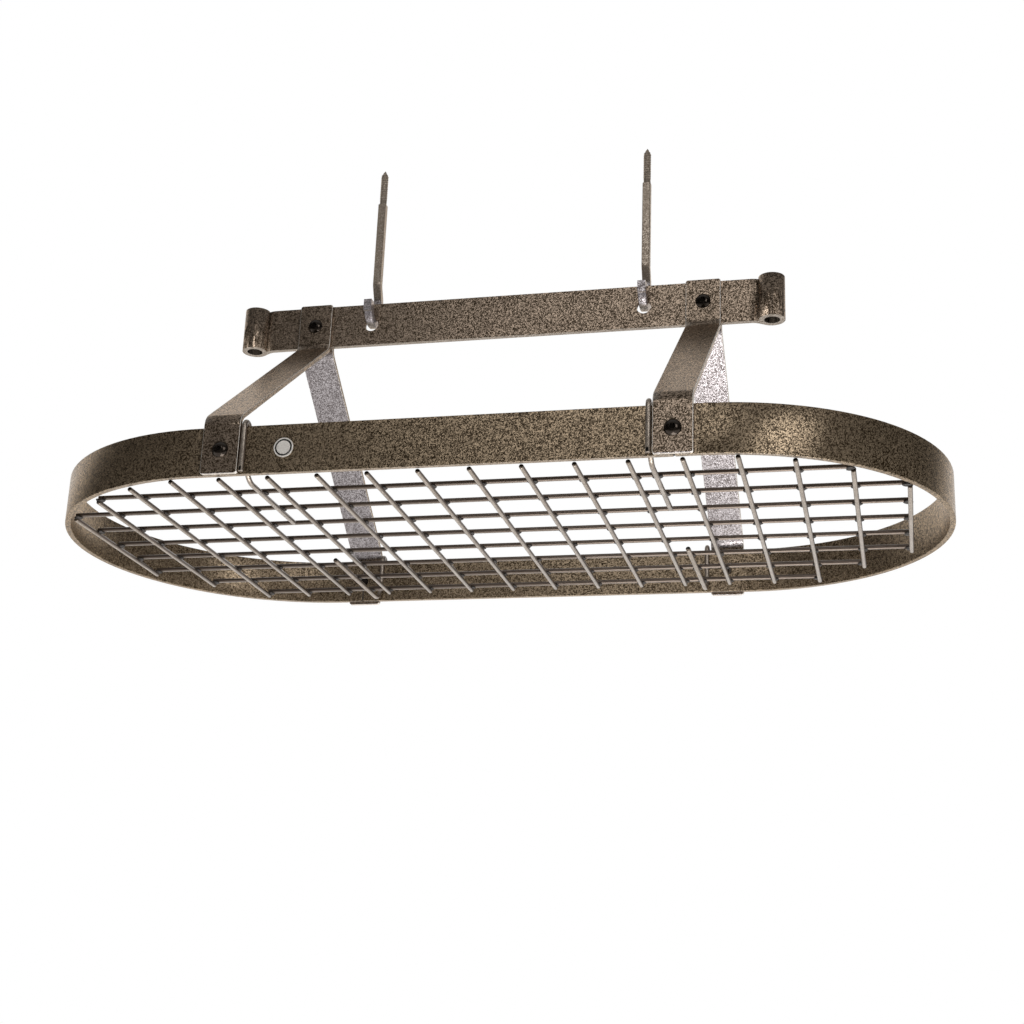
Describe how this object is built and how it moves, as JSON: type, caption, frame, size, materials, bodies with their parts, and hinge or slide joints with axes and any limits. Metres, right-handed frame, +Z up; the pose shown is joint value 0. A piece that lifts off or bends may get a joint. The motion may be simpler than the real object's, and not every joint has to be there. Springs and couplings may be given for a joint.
{
  "type": "hanging pot rack",
  "caption": "Oval flat-bar pot rack with a wire grid, hung by four bent straps from a top bar with rolled eyes on ceiling hooks.",
  "frame": {"origin": "on the ceiling plane, midway between the two ceiling studs", "axes": "+X along the rack, to the right seen from the badge side; +Y away from the badge side; +Z up into the ceiling"},
  "size_m": [0.9538, 0.4808, 0.4687],
  "materials": {
    "band_steel": "speckled hammered brown-grey",
    "strap_steel": "speckled hammered brown-grey, smoother on the slopes",
    "bolt_black": "black oxide",
    "badge_silver": "plain silver",
    "hanger_steel": "brown-grey square bar",
    "wire_steel": "light brown-grey wire"
  },
  "bodies": {
    "hangers": {"hanger_left": "hanger_steel", "hanger_right": "hanger_steel"},
    "rack": {"ring_half_front_left": "band_steel", "ring_half_back_right": "band_steel", "top_bar": "band_steel", "strap_front_left": "strap_steel", "strap_front_right": "strap_steel", "strap_back_left": "strap_steel", "strap_back_right": "strap_steel", "lower_bolts": "bolt_black", "upper_bolts": "bolt_black", "upper_nuts": "bolt_black", "badge_rim": "badge_silver", "badge_face": "badge_silver"},
    "grid": {"grid_cross_wires": "wire_steel", "grid_long_wires": "wire_steel", "grid_hook_front_left": "wire_steel", "grid_hook_front_right": "wire_steel", "grid_hook_back_left": "wire_steel", "grid_hook_back_right": "wire_steel"}
  },
  "joints": [
    {"name": "rack_swing", "type": "hinge", "parent": "hangers", "child": "rack", "pos_m": [0, -0.009, -0.14004], "axis": [1, 0, 0], "range_deg": [-60, 60]},
    {"name": "grid_lift", "type": "slide", "parent": "rack", "child": "grid", "axis": [0, 0, 1], "range_m": [0, 0.055]}
  ]
}
